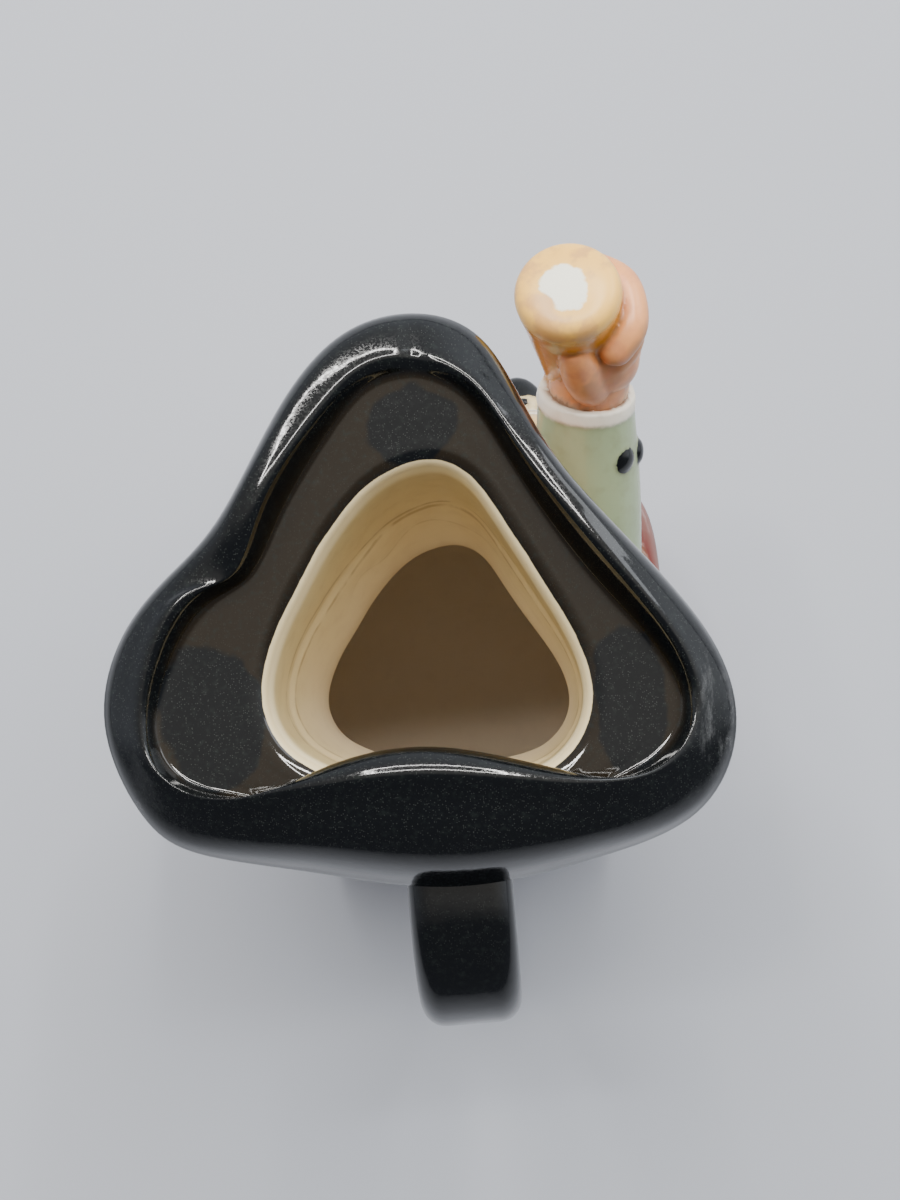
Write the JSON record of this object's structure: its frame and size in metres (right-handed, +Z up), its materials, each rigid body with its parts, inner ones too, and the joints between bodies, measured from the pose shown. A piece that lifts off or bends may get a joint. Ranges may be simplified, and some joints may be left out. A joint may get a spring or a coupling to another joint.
{
  "type": "toby jug",
  "caption": "Hollow glazed earthenware jug shaped as a seated drinker, with a three-cornered hat as its pouring rim and a strap handle behind.",
  "frame": {"origin": "on the underside's plane, under the middle of the jug's overall box", "axes": "+Z up, the figure faces -Y and its strap handle is at +Y, +X is the figure's left"},
  "size_m": [0.1076, 0.1396, 0.17],
  "materials": {
    "black_glaze": "glossy"
  },
  "bodies": {
    "root": {"toby_jug": "black_glaze"}
  },
  "joints": []
}
